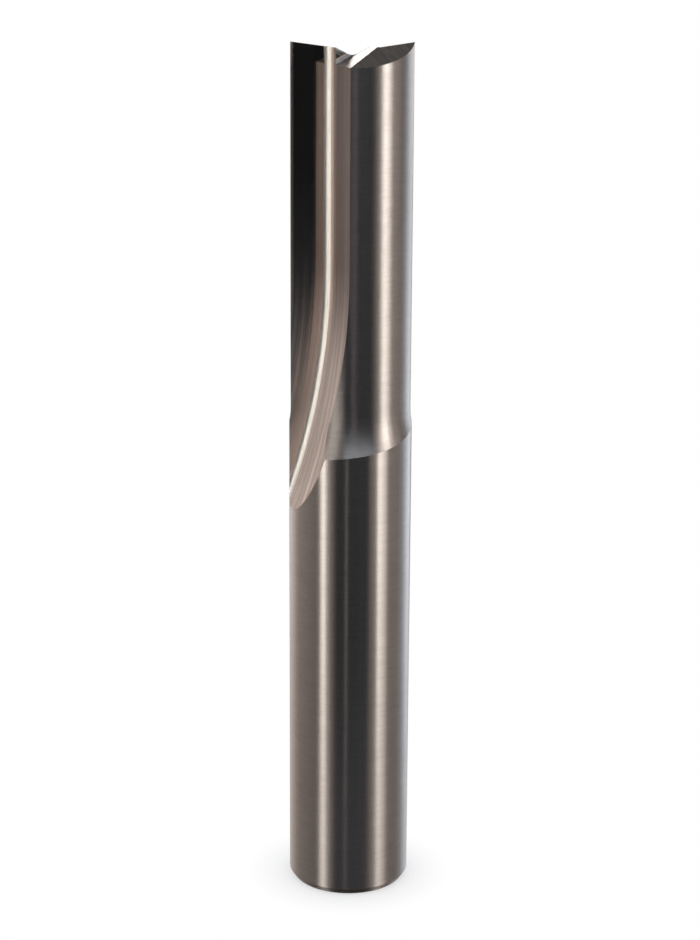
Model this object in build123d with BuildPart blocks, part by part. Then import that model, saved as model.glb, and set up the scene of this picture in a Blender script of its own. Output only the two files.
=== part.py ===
from build123d import *
from math import cos, radians, sin, tan
import os

os.makedirs("parts", exist_ok=True)

# Millimetres and degrees. +Z runs up the bit from the centre of the shank's
# end face to the cutting end. The two cutting corners lie along X.

# Whole bit, one piece of ground carbide
shank_diameter = 12.7
overall_length = 88.9
cutting_diameter = 12.4
shank_chamfer_width = 0.45
shank_chamfer_height = 0.65

# Straight flutes, each ground with one pass of a flat-sided wheel. Its flat side
# makes the rake face, its rim makes the gullet wall, and where the wheel stops
# the rim leaves the curved run-out.
rake_angle = 16.0
flute_depth = 4.05
gullet_wall_lean = 3.3
gullet_corner_radius = 0.6
flute_wheel_radius = 70.0
full_depth_length = 22.7

# Relieved back of each tooth: an arc set off the bit's centre, so that it starts
# at the cutting edge and falls away behind it. It ends above the shank in a step.
relief_angle = 6.0
relief_arc_radius = 5.6
relief_length = 37.3
relief_step_radius = 6.0

# Cutting end: a sloped facet behind each end cutting edge
end_relief_angle = 24.1
dish_angle = 0.8

# Gash that opens the middle of the end in front of each tooth. Both gashes pass
# the centre by a little, so that the two inner edges cut right to the middle.
gash_depth = 1.42
gash_wall_turn = 29.0
gash_floor_rise = 24.2
gash_floor_fall = 9.4
gash_root_radius = 0.5
gash_past_centre = 0.2

# Sizes that follow from the ones above
shank_radius = shank_diameter / 2
cutting_radius = cutting_diameter / 2
flute_z = overall_length - full_depth_length
relief_z = overall_length - relief_length
clear = shank_diameter

# Rake plane of the tooth on -X. Local x runs out along the rake face past the
# cutting edge, local y points into the flute.
rake_plane = Plane(
    origin=(-cutting_radius, 0, flute_z),
    x_dir=(-cos(radians(rake_angle)), -sin(radians(rake_angle)), 0),
    z_dir=(0, 0, 1),
)

# What the grinding wheel takes out for one flute, with its run-out
with BuildPart() as flute_cut:
    with BuildSketch(rake_plane) as wheel_section:
        with BuildLine():
            Polyline(
                (-flute_depth, 0),
                (clear / 4, 0),
                (clear / 4, clear * 0.75),
                (-flute_depth - clear * 0.75 * tan(radians(gullet_wall_lean)), clear * 0.75),
                close=True,
            )
        make_face()
        fillet(vertices().sort_by_distance((-flute_depth, 0))[0], gullet_corner_radius)
    extrude(amount=full_depth_length + clear)
    wheel_axis = Axis(
        rake_plane.from_local_coords(Vector(flute_wheel_radius - flute_depth, 0, 0)),
        -rake_plane.y_dir,
    )
    revolve(wheel_section.sketch, axis=wheel_axis, revolution_arc=60)

# What the relief grind takes off the back of the tooth on +X
arc_centre_x = cutting_radius - relief_arc_radius * cos(radians(relief_angle))
arc_centre_y = relief_arc_radius * sin(radians(relief_angle))
with BuildPart() as relief_cut:
    with BuildSketch(
        Plane(origin=(arc_centre_x, arc_centre_y, relief_z), x_dir=(1, 0, 0), z_dir=(0, -1, 0))
    ):
        with BuildLine():
            step_centre_x = relief_arc_radius + relief_step_radius
            step = CenterArc((step_centre_x, 0), relief_step_radius, 180, 90)
            Polyline(
                step @ 1,
                (step_centre_x + clear, -relief_step_radius),
                (step_centre_x + clear, relief_length + 1),
                (relief_arc_radius, relief_length + 1),
                step @ 0,
            )
        make_face()
    revolve(axis=Axis((arc_centre_x, arc_centre_y, 0), (0, 0, 1)))
    # Only as far round as this tooth reaches: past its own edge, and short of the other
    with Locations((-cutting_radius * 0.7, cutting_radius * 0.08, 0)):
        Box(
            clear * 2,
            clear * 2,
            overall_length * 2,
            align=(Align.MIN, Align.MAX, Align.MIN),
            mode=Mode.INTERSECT,
        )

# Planes of the cutting end on the side of the tooth on +X
facet_plane = Plane(
    origin=(cutting_radius, 0, overall_length),
    z_dir=(-tan(radians(dish_angle)), -tan(radians(end_relief_angle)), 1),
)
floor_plane = Plane(
    origin=(0, 0, overall_length - gash_depth),
    z_dir=(-tan(radians(gash_floor_rise)), -tan(radians(gash_floor_fall)), 1),
)
gash_wall = Plane(
    origin=(0, 0, overall_length),
    x_dir=(cos(radians(gash_wall_turn)), sin(radians(gash_wall_turn)), 0),
    z_dir=(0, 0, 1),
)

# End relief facet
with BuildPart() as facet_cut:
    with Locations(facet_plane):
        Box(clear * 3, clear * 3, clear, align=(Align.CENTER, Align.CENTER, Align.MIN))
    with Locations(gash_wall):
        Box(
            clear * 4,
            clear * 2,
            clear * 4,
            align=(Align.CENTER, Align.MAX, Align.CENTER),
            mode=Mode.INTERSECT,
        )

# Gash, with the small radius that the wheel's corner leaves along its root
with BuildPart() as gash_cut:
    with Locations(floor_plane):
        Box(clear * 3, clear * 3, clear, align=(Align.CENTER, Align.CENTER, Align.MIN))
    with Locations(gash_wall):
        with Locations((0, gash_past_centre, 0)):
            Box(
                clear * 4,
                clear * 2,
                clear * 4,
                align=(Align.CENTER, Align.MAX, Align.CENTER),
                mode=Mode.INTERSECT,
            )
    fillet(edges().sort_by_distance(floor_plane.origin)[0], gash_root_radius)

with BuildPart() as router_bit:
    with BuildSketch(Plane.XZ):
        with BuildLine():
            Polyline(
                (0, 0),
                (shank_radius - shank_chamfer_width, 0),
                (shank_radius, shank_chamfer_height),
                (shank_radius, overall_length),
                (0, overall_length),
                close=True,
            )
        make_face()
    revolve(axis=Axis.Z)
    # Stock for the teeth, which stands proud of the shank only on a bit that cuts wider
    with Locations((0, 0, overall_length)):
        Cylinder(cutting_radius, relief_length, align=(Align.CENTER, Align.CENTER, Align.MAX))
    # The second tooth is the first one turned half way round
    for turn in (0, 180):
        for cut in (flute_cut, relief_cut, facet_cut, gash_cut):
            add(cut.part, rotation=(0, 0, turn), mode=Mode.SUBTRACT)

router_bit.part.label = "router_bit"
export_step(router_bit.part, "parts/router_bit.step")
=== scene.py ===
from math import cos, radians, sin

import bmesh
import bpy
from mathutils import Matrix, Vector


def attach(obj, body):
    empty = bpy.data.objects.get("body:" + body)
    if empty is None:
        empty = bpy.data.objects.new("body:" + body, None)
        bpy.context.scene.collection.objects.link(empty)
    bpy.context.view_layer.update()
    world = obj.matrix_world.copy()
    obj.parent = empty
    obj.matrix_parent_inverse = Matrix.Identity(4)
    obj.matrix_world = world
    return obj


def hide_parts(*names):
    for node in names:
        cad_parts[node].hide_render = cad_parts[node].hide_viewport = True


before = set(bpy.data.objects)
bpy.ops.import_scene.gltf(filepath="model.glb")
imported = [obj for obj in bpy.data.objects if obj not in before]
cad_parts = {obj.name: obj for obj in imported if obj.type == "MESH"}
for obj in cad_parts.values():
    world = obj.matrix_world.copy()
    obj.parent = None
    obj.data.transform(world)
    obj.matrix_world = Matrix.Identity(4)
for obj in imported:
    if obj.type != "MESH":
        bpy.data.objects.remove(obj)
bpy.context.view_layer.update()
mm = 0.001

# the ground forms, at the CAD's own sizes
bit = {
    "shankRadius": 6.35 * mm,
    "length": 88.9 * mm,
    "cuttingRadius": 6.2 * mm,
    "chamferTop": 0.65 * mm,
    "rakeAngle": 16.0,
    "wheelRadius": 70.0 * mm,           # wheel that ground the flutes, seen in their run-outs
    "fluteDepth": 4.05 * mm,
    "fluteStraightFrom": 66.2 * mm,
    "gashTurn": 29.0,
    "cornerRadius": 0.6 * mm,
    "arcRadius": 5.6 * mm,              # relieved back of the tooth on +X
    "arcCentre": (0.631 * mm, 0.585 * mm),
}


def fill(tree, node, key, value):
    # a socket is linked to the input, and anything else is set as its value
    if isinstance(value, bpy.types.NodeSocket):
        tree.links.new(value, node.inputs[key])
    else:
        node.inputs[key].default_value = value


def addNode(tree, kind, inputs=None, **settings):
    node = tree.nodes.new(kind)
    for key, value in settings.items():
        setattr(node, key, value)
    for key, value in (inputs or {}).items():
        fill(tree, node, key, value)
    return node


def math(tree, operation, first, second=0.0, clamp=False):
    node = addNode(tree, "ShaderNodeMath", {0: first, 1: second}, operation=operation, use_clamp=clamp)
    return node.outputs[0]


def plus(tree, first, second, clamp=False):
    return math(tree, "ADD", first, second, clamp)


def minus(tree, first, second):
    return math(tree, "SUBTRACT", first, second)


def times(tree, first, second):
    return math(tree, "MULTIPLY", first, second)


def remap(tree, value, fromLow, fromHigh, toLow, toHigh, smooth=False):
    node = addNode(tree, "ShaderNodeMapRange",
                   {0: value, 1: fromLow, 2: fromHigh, 3: toLow, 4: toHigh},
                   interpolation_type="SMOOTHSTEP" if smooth else "LINEAR", clamp=True)
    return node.outputs[0]


def easeOut(tree, value, full, gone):
    return remap(tree, value, full, gone, 1.0, 0.0, smooth=True)


def blend(tree, factor, first, second):
    return addNode(tree, "ShaderNodeMix", {0: factor, 6: first, 7: second}, data_type="RGBA").outputs[2]


def splitPlace(tree, place):
    return addNode(tree, "ShaderNodeSeparateXYZ", {0: place}).outputs


def newGroup(name, inputs, outputs):
    tree = bpy.data.node_groups.new(name, "ShaderNodeTree")
    for label, kind, start in inputs:
        socket = tree.interface.new_socket(label, in_out="INPUT", socket_type="NodeSocket" + kind)
        if start is not None:
            socket.default_value = start
    for label, kind in outputs:
        tree.interface.new_socket(label, in_out="OUTPUT", socket_type="NodeSocket" + kind)
    return tree, tree.nodes.new("NodeGroupInput"), tree.nodes.new("NodeGroupOutput")


def placeGroup(tree, group, **inputs):
    node = tree.nodes.new("ShaderNodeGroup")
    node.node_tree = group
    for key, value in inputs.items():
        fill(tree, node, key, value)
    return node.outputs


def newMaterial(name):
    material = bpy.data.materials.new(name)
    material.use_nodes = True
    tree = material.node_tree
    tree.nodes.clear()
    output = tree.nodes.new("ShaderNodeOutputMaterial")
    return material, tree, output


def toothSide(tree, value):
    # 1 where the value is below 0, and -1 elsewhere: the bit is the same turned half way round
    return minus(tree, times(tree, math(tree, "LESS_THAN", value, 0.0), 2.0), 1.0)


# in millimetres: where each mask is full, and where it has gone, which the flute's has as a group input
wornPlaces = {
    "fluteFoot": 50.0,                  # heights up the bit
    "backLow": (52.0, 64.0),
    "step": (49.0, 51.5),
    "shankFoot": (4.0, 32.0),
    "backHeel": (-1.3, -0.3),           # across the bit, on the side away from the cutting edge
}


def runOuts():
    # where the wheels lifted out: low in the flutes, low on the tooth's back behind its cutting edge, and
    # in the step above the shank. Foot is the lower shank, where the ground finish is worn.
    tree, inside, outside = newGroup("runOuts", (
        ("Place", "Vector", None), ("Flute top", "Float", 74.0)), (
        ("Flute", "Float"), ("Back", "Float"), ("Scratched", "Float"), ("Foot", "Float")))
    x, y, z = splitPlace(tree, inside.outputs["Place"])
    flute = easeOut(tree, z, wornPlaces["fluteFoot"], inside.outputs["Flute top"])
    across = times(tree, x, toothSide(tree, y))
    back = times(tree, easeOut(tree, z, *wornPlaces["backLow"]),
                 easeOut(tree, across, *wornPlaces["backHeel"]))
    step = easeOut(tree, z, *wornPlaces["step"])
    tree.links.new(flute, outside.inputs["Flute"])
    tree.links.new(back, outside.inputs["Back"])
    tree.links.new(math(tree, "MAXIMUM", step, back), outside.inputs["Scratched"])
    tree.links.new(easeOut(tree, z, *wornPlaces["shankFoot"]), outside.inputs["Foot"])
    return tree


# grinding marks are fine lines over wider ones: share of the lines per mm, and weight in the height
ringLines = {"layers": ((1.0, 0.6), (0.29, 0.4)), "detail": 3.0, "roughness": 0.6}
wheelLines = {"layers": ((1.0, 0.5), (0.27, 0.5)), "detail": 3.0, "roughness": 0.55}
lineShade = (0.40, 0.62)                # heights between which a line goes from clean to dull


def addLines(tree, lines, placeAt, outside):
    heights = []
    for share, weight in lines["layers"]:
        x, y, z = placeAt(share)
        where = addNode(tree, "ShaderNodeCombineXYZ", {"X": x, "Y": y, "Z": z}).outputs[0]
        noise = addNode(tree, "ShaderNodeTexNoise", {
            "Vector": where, "Scale": 1.0, "Detail": lines["detail"], "Roughness": lines["roughness"]})
        heights.append(times(tree, noise.outputs[0], weight))
    height = plus(tree, *heights)
    tree.links.new(height, outside.inputs["Height"])
    tree.links.new(remap(tree, height, *lineShade, 0.0, 1.0), outside.inputs["Shade"])


def ringMarks():
    # fine lines left around the bit by cylindrical grinding. Slant tips them across a flat face.
    tree, inside, outside = newGroup("ringMarks", (
        ("Place", "Vector", None), ("Lines per mm", "Float", 9.0), ("Reach", "Float", 0.35),
        ("Slant", "Float", 0.0)), (("Height", "Float"), ("Shade", "Float")))
    x, y, z = splitPlace(tree, inside.outputs["Place"])
    level = plus(tree, z, times(tree, times(tree, toothSide(tree, y), x), inside.outputs["Slant"]))
    across = inside.outputs["Reach"]
    along = inside.outputs["Lines per mm"]

    def placeAt(share):
        return (times(tree, x, across), times(tree, y, across),
                times(tree, level, times(tree, along, share)))

    addLines(tree, ringLines, placeAt, outside)
    return tree


# in millimetres, inside the flute
flutePlaces = {
    "cornerLift": (0.55, 1.7),          # off the rake face: the gullet's corner goes over into its wall
    "edgeDepth": (3.5, 4.05),           # out from the gullet's root: the last stretch to the cutting edge
}


def wheelMarks():
    # lines that follow the path of the wheel: straight up the flute, and round its rim in the run-out
    tree, inside, outside = newGroup("wheelMarks", (
        ("Place", "Vector", None), ("Lines per mm", "Float", 3.0), ("Wander", "Float", 0.03)), (
        ("Height", "Float"), ("Shade", "Float"), ("Corner", "Float"), ("Edge", "Float")))
    x, y, z = splitPlace(tree, inside.outputs["Place"])
    side = toothSide(tree, x)
    x, y = times(tree, x, side), times(tree, y, side)
    turn = radians(bit["rakeAngle"])
    wheel, edge = bit["wheelRadius"] / mm, -bit["cuttingRadius"] / mm
    reach = wheel - bit["fluteDepth"] / mm
    centre = (edge - reach * cos(turn), -reach * sin(turn))
    outX, outY = minus(tree, x, centre[0]), minus(tree, y, centre[1])
    away = plus(tree, times(tree, outX, cos(turn)), times(tree, outY, sin(turn)))
    below = math(tree, "MINIMUM", minus(tree, z, bit["fluteStraightFrom"] / mm), 0.0)
    rim = math(tree, "SQRT", plus(tree, times(tree, away, away), times(tree, below, below)))
    depth = minus(tree, wheel, rim)     # out from the gullet's root, along the rake face
    lift = minus(tree, times(tree, minus(tree, x, edge), sin(turn)), times(tree, y, cos(turn)))
    tree.links.new(remap(tree, lift, *flutePlaces["cornerLift"], 1.0, 0.0), outside.inputs["Corner"])
    tree.links.new(remap(tree, depth, *flutePlaces["edgeDepth"], 0.0, 1.0, smooth=True),
                   outside.inputs["Edge"])

    def placeAt(share):
        lines = times(tree, inside.outputs["Lines per mm"], share)
        return (times(tree, depth, lines), times(tree, lift, lines),
                times(tree, z, inside.outputs["Wander"]))

    addLines(tree, wheelLines, placeAt, outside)
    return tree


touchMarks = {
    "smearDetail": 4.0, "smearRoughness": 0.55, "smearDistortion": 0.6,
    "smearRange": (0.42, 0.66),         # noise values between which a smear goes from none to full
    "grainPerMm": 14.0, "grainDetail": 2.0,
    "grainRange": (0.35, 0.65),
}


def handling():
    # faint smears, and the grain of the carbide
    tree, inside, outside = newGroup("handling", (
        ("Place", "Vector", None), ("Smear size", "Float", 6.0)), (
        ("Smear", "Float"), ("Grain", "Float")))
    smear = addNode(tree, "ShaderNodeTexNoise", {
        "Vector": inside.outputs["Place"],
        "Scale": math(tree, "DIVIDE", 1.0, inside.outputs["Smear size"]),
        "Detail": touchMarks["smearDetail"],
        "Roughness": touchMarks["smearRoughness"],
        "Distortion": touchMarks["smearDistortion"],
    }).outputs[0]
    grain = addNode(tree, "ShaderNodeTexNoise", {
        "Vector": inside.outputs["Place"],
        "Scale": touchMarks["grainPerMm"],
        "Detail": touchMarks["grainDetail"],
    }).outputs[0]
    tree.links.new(remap(tree, smear, *touchMarks["smearRange"], 0.0, 1.0, smooth=True),
                   outside.inputs["Smear"])
    tree.links.new(remap(tree, grain, *touchMarks["grainRange"], 0.0, 1.0), outside.inputs["Grain"])
    return tree


groups = {"ring": ringMarks(), "wheel": wheelMarks(), "handling": handling(), "runOuts": runOuts()}
print("node groups made")


def carbideMaterial(name, look):
    material, tree, output = newMaterial(name)
    coordinates = addNode(tree, "ShaderNodeTexCoord").outputs["Object"]
    place = addNode(tree, "ShaderNodeVectorMath", {0: coordinates, "Scale": 1 / mm},
                    operation="SCALE").outputs[0]
    marks = placeGroup(tree, groups[look["marks"]], Place=place, **look["lines"])
    touch = placeGroup(tree, groups["handling"], Place=place)
    if "runOut" in look:
        runOut = placeGroup(tree, groups["runOuts"], Place=place, **look["runOut"])

    shade = times(tree, marks["Shade"], look["shadeMarks"])
    shade = plus(tree, shade, times(tree, touch["Grain"], look["shadeGrain"]))
    shade = plus(tree, shade, times(tree, touch["Smear"], look["shadeSmear"]), clamp=True)
    colour = blend(tree, shade, look["colour"], look["dull"])
    # Low in the flute the colour goes over to a paler one: painted sheen.
    if "paintedSheenRunOut" in look:
        paintedSheenShare = runOut["Flute"]
        # beside the gullet's corner the paler colour reaches onto the wall: a painted highlight
        if "cornerHighlightReach" in look:
            paintedSheenShare = math(tree, "MAXIMUM", paintedSheenShare, times(tree, marks["Corner"], look["cornerHighlightReach"]))
        colour = blend(tree, paintedSheenShare, colour, blend(tree, shade, look["paintedSheenRunOut"], look["colour"]))

    rough = plus(tree, look["roughness"], times(tree, marks["Shade"], look["roughMarks"]))
    rough = plus(tree, rough, times(tree, touch["Smear"], look["roughSmear"]), clamp=True)
    if "roughRunOut" in look:
        where = math(tree, "POWER", runOut[look["roughWhere"]], look["runOutPower"])
        rough = plus(tree, rough, times(tree, where, look["roughRunOut"]), clamp=True)
    if "cornerRough" in look:
        rough = plus(tree, rough, times(tree, marks["Corner"], look["cornerRough"]), clamp=True)
    if "edgeRough" in look:
        rough = plus(tree, rough, times(tree, marks["Edge"], look["edgeRough"]))
        rough = math(tree, "MINIMUM", rough, look["roughMost"])
    if "footWear" in look:
        rough = plus(tree, rough, times(tree, runOut["Foot"], look["footWear"]))

    height = marks["Height"]
    if "scratched" in look:
        deeper = plus(tree, 1.0, times(tree, runOut[look["scratchedWhere"]], look["scratched"]))
        height = times(tree, minus(tree, height, 0.5), deeper)     # 0.5 is the middle of the noise
    height = plus(tree, height, times(tree, touch["Grain"], look["grainHeight"]))
    bump = addNode(tree, "ShaderNodeBump", {
        "Strength": look["bump"], "Distance": look["relief"], "Height": height})
    along = addNode(tree, "ShaderNodeCombineXYZ", {"Z": 1.0})
    shader = addNode(tree, "ShaderNodeBsdfPrincipled", {
        "Base Color": colour,
        "Metallic": 1.0,
        "Roughness": rough,
        "Anisotropic": look["anisotropic"],
        "Anisotropic Rotation": look["turn"],
        "Normal": bump.outputs[0],
        "Tangent": along.outputs[0],
    })
    tree.links.new(shader.outputs[0], output.inputs[0])
    return material


# Every finish of the bit. colour and dull are the two ends of its shade, and the shade and rough values say
# how far the marks, grain and smears change it. The rake's and the corner's colours are paler than the
# carbide's, which is painted reflection and painted highlight, and the gash's are darker, which is painted
# shade. relief is the depth of the marks. A turn of 0 stretches the highlights up the bit, and 0.25 across
# it.
carbide = {
    "colour": (0.52, 0.46, 0.435, 1), "dull": (0.36, 0.305, 0.28, 1),
    "shadeMarks": 0.3, "shadeGrain": 0.25, "shadeSmear": 0.08,
    "roughMarks": 0.03, "roughSmear": 0.015, "grainHeight": 0.3, "bump": 0.5,
}
looks = {
    "shankGrind": {
        **carbide, "marks": "ring", "lines": {"Lines per mm": 6.0, "Reach": 0.5}, "runOut": {},
        "roughness": 0.28, "anisotropic": 1.0, "turn": 0.0, "relief": 0.0012 * mm,
        "grainHeight": 1.2, "roughMarks": 0.01, "roughSmear": 0.01,
        "footWear": 0.08,
    },
    "backGrind": {
        **carbide, "marks": "ring", "lines": {"Lines per mm": 4.0, "Reach": 0.7}, "runOut": {},
        "roughness": 0.28, "anisotropic": 1.0, "turn": 0.0, "relief": 0.004 * mm,
        "grainHeight": 1.2, "roughMarks": 0.01, "roughSmear": 0.01,
        "roughRunOut": 0.30, "roughWhere": "Back", "runOutPower": 1.0,
        "scratched": 5.0, "scratchedWhere": "Scratched",
    },
    # The rake face's colours are far paler than the carbide's, and paler still low in the flute: painted
    # reflection, over its real wheel marks.
    "rakeGrindAndSheen": {
        **carbide, "marks": "wheel", "lines": {"Lines per mm": 2.4, "Wander": 0.02},
        "runOut": {"Flute top": 74.0},
        "colour": (0.93, 0.83, 0.78, 1), "dull": (0.62, 0.52, 0.47, 1), "paintedSheenRunOut": (1, 0.92, 0.86, 1),
        "shadeMarks": 0.7, "roughness": 0.06, "anisotropic": 0.9, "turn": 0.25, "relief": 0.02 * mm,
        "grainHeight": 0.0, "roughMarks": 0.0, "roughSmear": 0.0,
        "roughRunOut": 0.208, "roughWhere": "Flute", "runOutPower": 1.5,
        "scratched": 3.0, "scratchedWhere": "Flute",
        "edgeRough": 0.17, "roughMost": 0.268,
    },
    # The corner's colour is near white, far paler than the carbide's: a painted highlight, over its real
    # wheel marks.
    "cornerGrindAndHighlight": {
        **carbide, "marks": "wheel", "lines": {"Lines per mm": 5.0, "Wander": 0.03},
        "colour": (1.0, 0.97, 0.91, 1), "dull": (0.90, 0.82, 0.75, 1),
        "roughness": 0.35, "anisotropic": 0.85, "turn": 0.25, "relief": 0.0004 * mm,
    },
    # The gullet's colour goes paler low in the flute, which is painted sheen, and beside its corner, which
    # is a painted highlight.
    "gulletGrind": {
        **carbide, "marks": "wheel", "lines": {"Lines per mm": 4.5, "Wander": 0.03},
        "runOut": {"Flute top": 68.0},
        "colour": (0.52, 0.43, 0.40, 1), "dull": (0.33, 0.255, 0.235, 1),
        "paintedSheenRunOut": (0.98, 0.84, 0.77, 1), "cornerHighlightReach": 0.8, "cornerRough": 0.15,
        "shadeMarks": 0.7, "roughness": 0.32, "anisotropic": 0.9, "turn": 0.25, "relief": 0.002 * mm,
        "roughRunOut": 0.32, "roughWhere": "Flute", "runOutPower": 1.0,
    },
    # The gash's colours are darker than the carbide's, down to near black: painted shade, over its real
    # grinding marks.
    "gashGrindAndShade": {
        **carbide, "marks": "ring", "lines": {"Lines per mm": 2.5, "Reach": 0.1, "Slant": 0.6},
        "colour": (0.26, 0.25, 0.25, 1), "dull": (0.05, 0.045, 0.045, 1), "shadeMarks": 1.0,
        "roughness": 0.30, "anisotropic": 0.0, "turn": 0.0, "relief": 0.002 * mm,
    },
    "endGrind": {
        **carbide, "marks": "ring", "lines": {"Lines per mm": 4.0, "Reach": 0.25, "Slant": 0.9},
        "shadeMarks": 0.7, "shadeGrain": 0.2, "dull": (0.26, 0.22, 0.205, 1),
        "roughness": 0.29, "anisotropic": 0.5, "turn": 0.0, "relief": 0.0008 * mm,
    },
}

# how a face of the CAD mesh is told to belong to one ground surface
sorting = {
    "endReach": 3.2 * mm,               # the gashes and facets reach this far below the top
    "inPlane": 0.999,                   # least match of a flat face's normal
    "onArc": 0.97,                      # least match with the arc of the tooth's back
    "upright": 0.4,                     # how much of the normal still points outwards, low in the step
    "slack": 0.03 * mm,                 # how far a face may lie inside its true radius
    "backEdge": 0.3 * mm,               # limits of the tooth's back: Y at its edge, X at its heel
    "backHeel": -3.2 * mm,
    "underside": -0.9,                  # a normal that points further down is the shank's end face's
    "faceUp": 0.1,                      # near the top, one that points further up is a facet's or gash's
}


def flatNormal(turn):
    return Vector((sin(radians(turn)), -cos(radians(turn)), 0))


rakeNormal = flatNormal(bit["rakeAngle"])
gashNormal = flatNormal(bit["gashTurn"])


def halfTurned(place):
    return Vector((-place.x, -place.y, place.z))


def onBack(centre, normal):
    # on the relieved back of the tooth on +X
    fromArc, along = centre.xy - Vector(bit["arcCentre"]), normal.xy
    match = sorting["onArc"] * along.length
    return (fromArc.length > bit["arcRadius"] - sorting["slack"]
            and along.dot(fromArc.normalized()) > match > sorting["upright"]
            and centre.y < sorting["backEdge"] and centre.x > sorting["backHeel"])


def surfaceOf(centre, normal):
    atEnd = centre.z > bit["length"] - sorting["endReach"]
    if atEnd and abs(normal.dot(gashNormal)) > sorting["inPlane"]:
        return "gashGrindAndShade"
    if normal.z < sorting["underside"] or atEnd and normal.z > sorting["faceUp"]:
        return "endGrind"
    if centre.z < bit["chamferTop"] or centre.xy.length > bit["shankRadius"] - sorting["slack"]:
        return "shankGrind"
    if onBack(centre, normal) or onBack(halfTurned(centre), halfTurned(normal)):
        return "backGrind"
    if centre.x >= 0:                   # the flute on +X is the one on -X turned half way round
        centre, normal = halfTurned(centre), halfTurned(normal)
    if normal.dot(rakeNormal) > sorting["inPlane"]:
        return "rakeGrindAndSheen"
    lift = (centre + Vector((bit["cuttingRadius"], 0, 0))).dot(rakeNormal)
    return "cornerGrindAndHighlight" if lift < bit["cornerRadius"] else "gulletGrind"


def routerBit():
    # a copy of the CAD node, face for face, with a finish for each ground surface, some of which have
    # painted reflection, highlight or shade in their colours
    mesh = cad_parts["router_bit"].data.copy()
    mesh.name = "routerBit"
    piece = bpy.data.objects.new("routerBit", mesh)
    bpy.context.scene.collection.objects.link(piece)
    mesh.materials.clear()
    names = list(looks)
    for name in names:
        mesh.materials.append(carbideMaterial(name, looks[name]))
    for face in mesh.polygons:
        face.material_index = names.index(surfaceOf(face.center, face.normal))
    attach(piece, "root")
    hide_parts("router_bit")


routerBit()
print("bit dressed")

stage = {
    "floorColour": (0.95, 0.965, 1.0, 1),
    "floorSize": 6.0,
    "glowNear": 0.5,                    # share of the floor that the camera sees as plain white, at the foot
    "glowFrom": 6.0 * mm,               # distances from the axis between which it goes to all white
    "glowTo": 11.0 * mm,
    "cardRadius": 0.36,                 # the cards stand in a ring round the bit
    "cardLow": -0.40,                   # the metal shows the cards below the floor, and not the floor
    "cardHigh": 0.50,
    "cardSteps": 32,
    "fadeFrom": -0.05,                  # heights between which a card's light fades to its low share
    "fadeTo": -0.18,
    "lowShare": 0.55,                   # low share of a card that names none
    "topFrom": 0.04,                    # height above which a card has its top share
    "panelNear": 0.38,                  # distances from the axis between which the overhead panel dims
    "panelFar": 0.95,
    "panelHole": 0.1 * mm,
    "worldColour": (1, 1, 1, 1),
    "worldStrength": 1.0,
}
dark = (0.78, 0.88, 1.0, 1)
warm = (1.0, 0.93, 0.88, 1)
white = (1.0, 1.0, 0.95, 1)
cool = (0.78, 0.90, 1.0, 1)

# Cards seen in the metal, from and to in degrees round the bit: 0 is the camera's side, and 90 is on its
# right. A card's strength goes over to strengthTo from one side to the other, and low and top are shares of
# it. high and bottom are the heights of its ends.
cards = {
    "flagLeft": {"from": -28, "to": -6.6, "colour": dark, "strength": 0.031, "low": 1.0, "high": 0.32},
    "slit": {"from": -6.6, "to": -5.7, "colour": warm, "strength": 1.1, "high": 0.32},
    "flagRight": {"from": -5.7, "to": 18, "colour": dark, "strength": 0.031, "low": 1.0, "high": 0.32},
    "flagFar": {"from": 18, "to": 36, "colour": dark, "strength": 0.045,
                "low": 1.5, "top": 0.2, "high": 0.32},
    "nearLeft": {"from": -43, "to": -28, "colour": warm, "strength": 0.34, "strengthTo": 0.17},
    "nearRight": {"from": 36, "to": 53, "colour": warm, "strength": 0.24, "strengthTo": 0.34, "low": 0.4},
    "softboxLeft": {"from": -55.5, "to": -43, "colour": white, "strength": 1.9, "strengthTo": 2.1,
                    "top": 1.9, "low": 0.34},
    "softboxRight": {"from": 53, "to": 63.3, "colour": white, "strength": 2.6, "strengthTo": 2.2,
                     "top": 1.4, "low": 0.20},
    "softboxEdge": {"from": 63.3, "to": 74, "colour": white, "strength": 1.65, "strengthTo": 0.8,
                    "top": 1.9, "low": 0.05},
    "wallLeft": {"from": -118, "to": -55.5, "colour": warm, "strength": 0.52, "strengthTo": 0.29,
                 "low": 0.42},
    "wallRight": {"from": 74, "to": 98, "colour": warm, "strength": 0.36, "strengthTo": 0.27, "top": 1.7},
    "wallFar": {"from": 98, "to": 112, "colour": warm, "strength": 0.34, "strengthTo": 0.58, "top": 0.5},
    "rimLeft": {"from": -152, "to": -118, "colour": warm, "strength": 1.15, "strengthTo": 0.62,
                "low": 0.36},
    "rimRight": {"from": 112, "to": 150, "colour": cool, "strength": 0.42, "strengthTo": 2.1, "top": 0.5},
    "lowLeft": {"from": -210, "to": -152, "colour": warm, "strength": 0.40, "low": 1.0, "high": -0.09},
    "backFlag": {"from": 160, "to": 200, "colour": dark, "strength": 0.06, "high": 0.055},
    "backPanel": {"from": 130, "to": 230, "colour": white, "strength": 2.6, "bottom": 0.14, "high": 0.27},
}
# flat ones over the bit, behind it and in front of it, and one under it
ceilings = {
    "ceilingBack": {"from": 90, "radius": 0.55, "height": 0.50, "colour": warm, "strength": 0.06},
    "ceilingFront": {"from": 270, "radius": 1.2, "height": 0.50, "colour": cool, "strength": 0.8,
                     "strengthFar": 0.12},
    "pit": {"from": 180, "sweep": 360, "radius": 0.36, "height": -0.40, "colour": warm, "strength": 0.12},
}


def addPiece(name, bm, material):
    mesh = bpy.data.meshes.new(name)
    bm.to_mesh(mesh)
    bm.free()
    mesh.materials.append(material)
    piece = bpy.data.objects.new(name, mesh)
    bpy.context.scene.collection.objects.link(piece)
    return piece


def seenOnlyInMetal(piece):
    piece.visible_camera = False
    piece.visible_diffuse = False
    piece.visible_shadow = False


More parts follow.
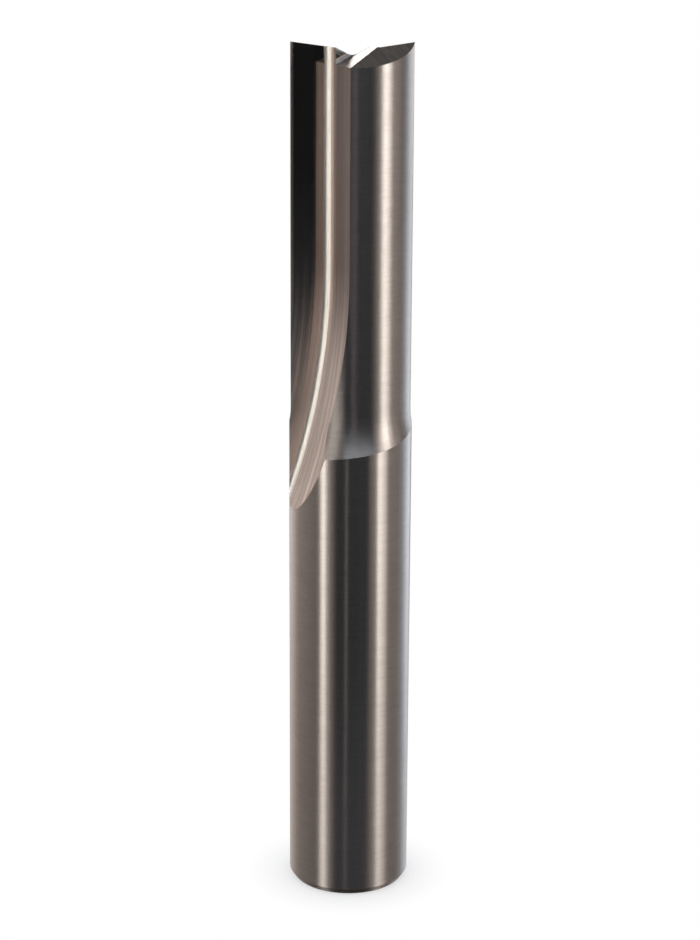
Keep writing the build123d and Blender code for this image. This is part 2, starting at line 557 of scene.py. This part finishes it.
def stageFloor():
    # matt, so that it takes the bit's shadow, and plain white to the camera further out
    material, tree, output = newMaterial("floor")
    matt = addNode(tree, "ShaderNodeBsdfDiffuse", {"Color": stage["floorColour"]})
    glow = addNode(tree, "ShaderNodeEmission", {"Strength": 1.0})
    seen = addNode(tree, "ShaderNodeLightPath").outputs["Is Camera Ray"]
    coordinates = addNode(tree, "ShaderNodeTexCoord").outputs["Object"]
    away = addNode(tree, "ShaderNodeVectorMath", {0: coordinates}, operation="LENGTH").outputs["Value"]
    share = remap(tree, away, stage["glowFrom"], stage["glowTo"], stage["glowNear"], 1.0)
    both = addNode(tree, "ShaderNodeMixShader", {
        0: times(tree, seen, share), 1: matt.outputs[0], 2: glow.outputs[0]})
    tree.links.new(both.outputs[0], output.inputs[0])
    bm = bmesh.new()
    bmesh.ops.create_grid(bm, x_segments=1, y_segments=1, size=stage["floorSize"])
    addPiece("floor", bm, material).visible_glossy = False


def glowMaterial(name, card):
    material, tree, output = newMaterial(name)
    coordinates = addNode(tree, "ShaderNodeTexCoord").outputs["Object"]
    x, y, z = splitPlace(tree, coordinates)
    strength = card["strength"]
    if "strengthTo" in card:
        around = math(tree, "ARCTAN2", x, times(tree, y, -1.0))
        strength = remap(tree, around, radians(card["from"]), radians(card["to"]),
                         strength, card["strengthTo"])
    if "strengthFar" in card:
        away = math(tree, "SQRT", plus(tree, times(tree, x, x), times(tree, y, y)))
        strength = remap(tree, away, stage["panelNear"], stage["panelFar"], strength, card["strengthFar"])
    low = card.get("low", stage["lowShare"])
    share = remap(tree, z, stage["fadeTo"], stage["fadeFrom"], low, 1.0)
    if "top" in card:
        top = remap(tree, z, stage["fadeFrom"], stage["topFrom"], 1.0, card["top"])
        share = times(tree, share, top)
    glow = addNode(tree, "ShaderNodeEmission", {
        "Color": card["colour"], "Strength": times(tree, share, strength)})
    tree.links.new(glow.outputs[0], output.inputs[0])
    return material


def spinAround(bm, places, start, sweep):
    turned = Matrix.Rotation(radians(start), 3, "Z")
    profile = [bm.verts.new(turned @ Vector(place)) for place in places]
    edges = [bm.edges.new(pair) for pair in zip(profile, profile[1:])]
    bmesh.ops.spin(bm, geom=profile + edges, axis=(0, 0, 1), cent=(0, 0, 0),
                   angle=radians(sweep), steps=stage["cardSteps"], use_merge=sweep == 360)


def curvedCard(name, card):
    bm = bmesh.new()
    radius = stage["cardRadius"]
    low, high = card.get("bottom", stage["cardLow"]), card.get("high", stage["cardHigh"])
    spinAround(bm, ((0, -radius, low), (0, -radius, high)), card["from"], card["to"] - card["from"])
    seenOnlyInMetal(addPiece(name, bm, glowMaterial(name, card)))


def flatCard(name, card):
    # half a disc unless the card gives its sweep
    bm = bmesh.new()
    spinAround(bm, ((0, -stage["panelHole"], card["height"]), (0, -card["radius"], card["height"])),
               card["from"], card.get("sweep", 180))
    seenOnlyInMetal(addPiece(name, bm, glowMaterial(name, card)))


stageFloor()
for name, card in cards.items():
    curvedCard(name, card)
for name, card in ceilings.items():
    flatCard(name, card)

world = bpy.data.worlds.new("studio")
bpy.context.scene.world = world
world.use_nodes = True
background = world.node_tree.nodes["Background"]
background.inputs["Color"].default_value = stage["worldColour"]
background.inputs["Strength"].default_value = stage["worldStrength"]
print("stage and light done")

view = {
    "place": (-0.06 * mm, -198.373 * mm, 96.411 * mm),
    "down": 12.787,                     # degrees
    "roll": 0.305,
    "lens": 75.243,
    "sensor": 36,
    "shiftY": -60 / 940,                # 60 pixels of the photograph's height
    "clipStart": 0.01,
}
lens = bpy.data.cameras.new("camera")
lens.lens = view["lens"]
lens.sensor_width = view["sensor"]
lens.shift_y = view["shiftY"]
lens.clip_start = view["clipStart"]
camera = bpy.data.objects.new("camera", lens)
camera.location = view["place"]
turn = Matrix.Rotation(radians(90 - view["down"]), 3, "X") @ Matrix.Rotation(radians(view["roll"]), 3, "Z")
camera.rotation_euler = turn.to_euler()
bpy.context.scene.collection.objects.link(camera)
bpy.context.scene.camera = camera
bpy.context.scene.view_settings.view_transform = "Standard"
print("camera placed")
